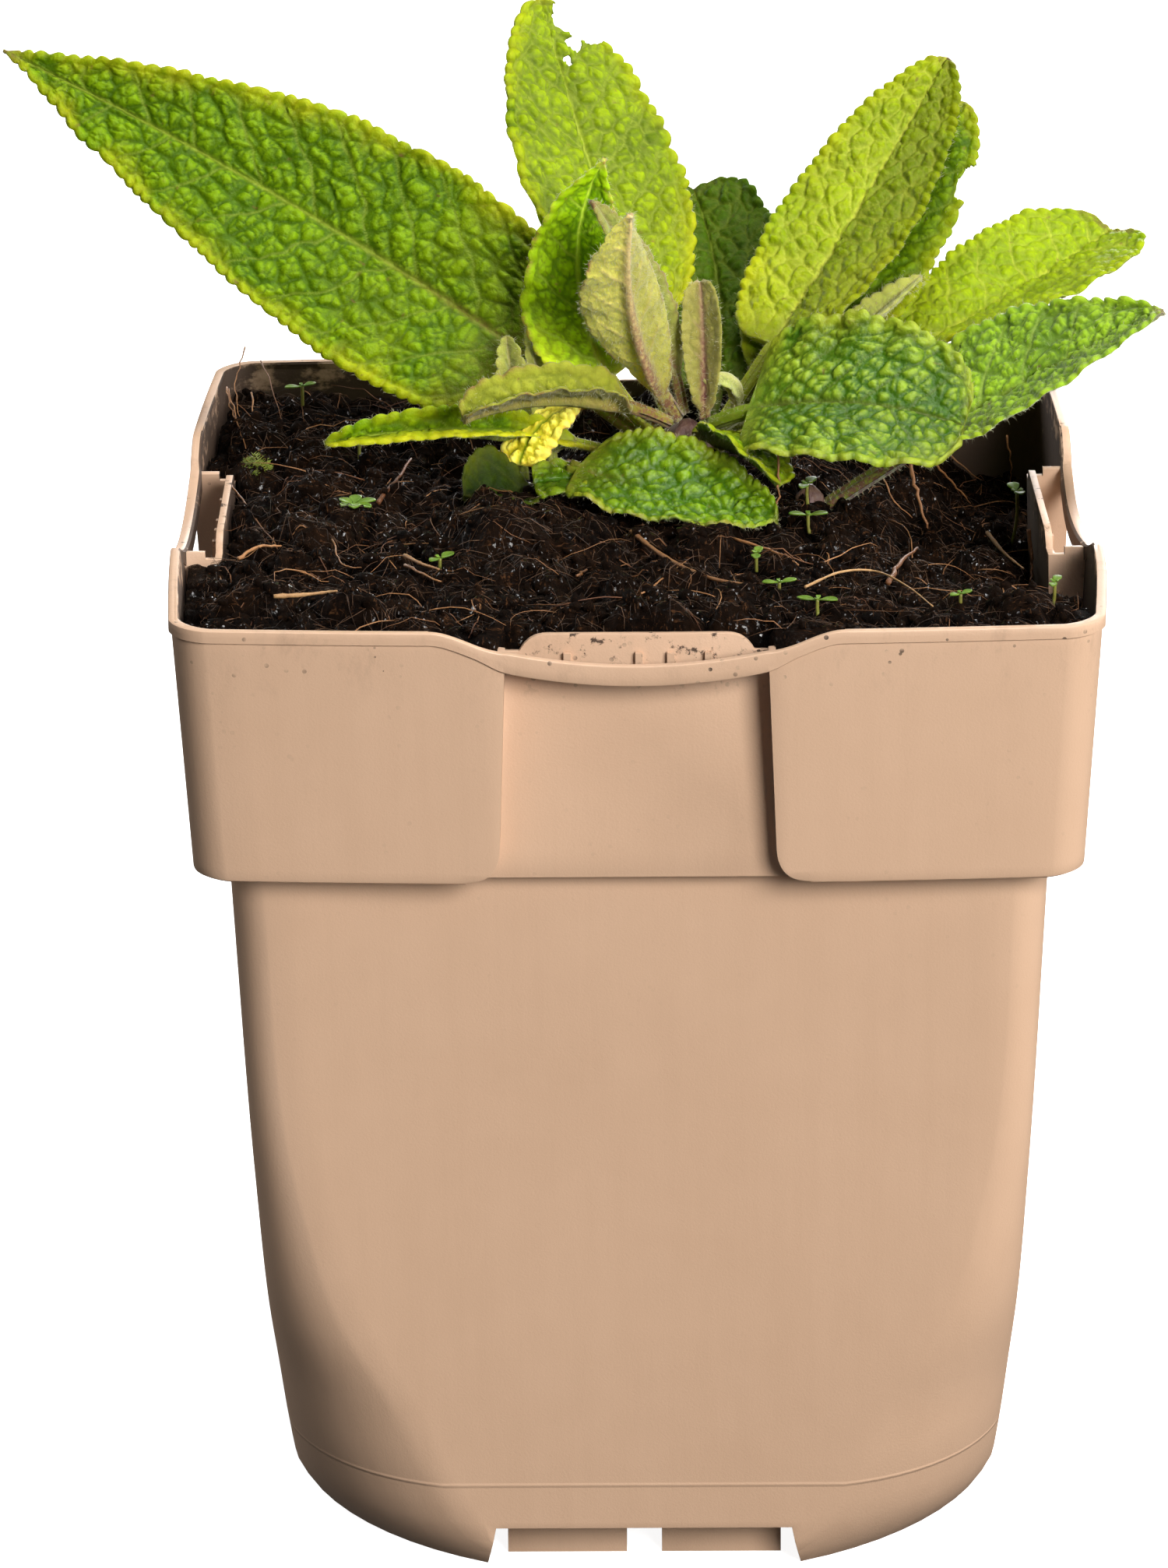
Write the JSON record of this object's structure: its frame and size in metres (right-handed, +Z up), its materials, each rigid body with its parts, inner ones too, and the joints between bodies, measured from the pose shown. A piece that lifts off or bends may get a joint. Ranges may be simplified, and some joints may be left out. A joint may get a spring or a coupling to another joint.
{
  "type": "potted mullein plant",
  "caption": "Young mullein rosette with blistered woolly leaves, growing in dark soil in a square taupe nursery pot with a deep collar.",
  "frame": {"origin": "centre of the pot's underside pad, on the surface that the pot stands on", "axes": "+Z up along the pot axis, +X to the right and -Y towards the front of the pot"},
  "size_m": [0.1684, 0.1399, 0.1999],
  "materials": {
    "pot_plastic": "satin moulded plastic, taupe",
    "soil": "moist crumbly peat with fibres and glints",
    "stock_skin": "soft downy stem, purple brown",
    "leaf_lime_green": "downy, blistered, lime green",
    "leaf_mid_green": "downy, blistered, mid green",
    "leaf_deep_green": "downy, blistered, deep green",
    "leaf_woolly_young": "densely woolly, pale tan green",
    "leaf_yellowing": "yellow with green veins",
    "straw": "dry root fibre",
    "moss": "soft moss",
    "weed": "smooth seed leaf"
  },
  "bodies": {
    "root": {"crown": "stock_skin", "leaf_arched_left": "leaf_lime_green", "leaf_bitten_right": "leaf_mid_green", "leaf_blistered_front": "leaf_deep_green", "leaf_curled_tiny": "leaf_woolly_young", "leaf_cut_young": "leaf_woolly_young", "leaf_folded_young": "leaf_woolly_young", "leaf_glossy_front": "leaf_mid_green", "leaf_lobed_left": "leaf_mid_green", "leaf_long_left": "leaf_mid_green", "leaf_low_left": "leaf_mid_green", "leaf_narrow_young": "leaf_woolly_young", "leaf_pointed_centre": "leaf_mid_green", "leaf_rear_shaded": "leaf_deep_green", "leaf_shaded_left": "leaf_deep_green", "leaf_small_front": "leaf_mid_green", "leaf_spreading_lower": "leaf_mid_green", "leaf_spreading_upper": "leaf_lime_green", "leaf_sprout_left": "leaf_woolly_young", "leaf_sprout_right": "leaf_woolly_young", "leaf_tall_centre": "leaf_lime_green", "leaf_upright_right": "leaf_lime_green", "leaf_woolly_right": "leaf_woolly_young", "leaf_yellowing_left": "leaf_yellowing", "moss_cushion": "moss", "pot": "pot_plastic", "right_shoot": "stock_skin", "seedling_front_first": "weed", "seedling_front_left": "weed", "seedling_front_right": "weed", "seedling_front_second": "weed", "seedling_middle": "weed", "seedling_pair_front": "weed", "seedling_pair_rear": "weed", "seedling_rear_left": "weed", "seedling_right_corner": "weed", "seedling_tall_right": "weed", "side_shoot": "stock_skin", "soil": "soil", "straw_front_left": "straw", "straw_left": "straw", "straw_pale_right": "straw", "straw_right": "straw", "twig_curved_middle": "straw", "weed_star_left": "weed", "weed_under_low_leaf": "weed"}
  },
  "joints": []
}
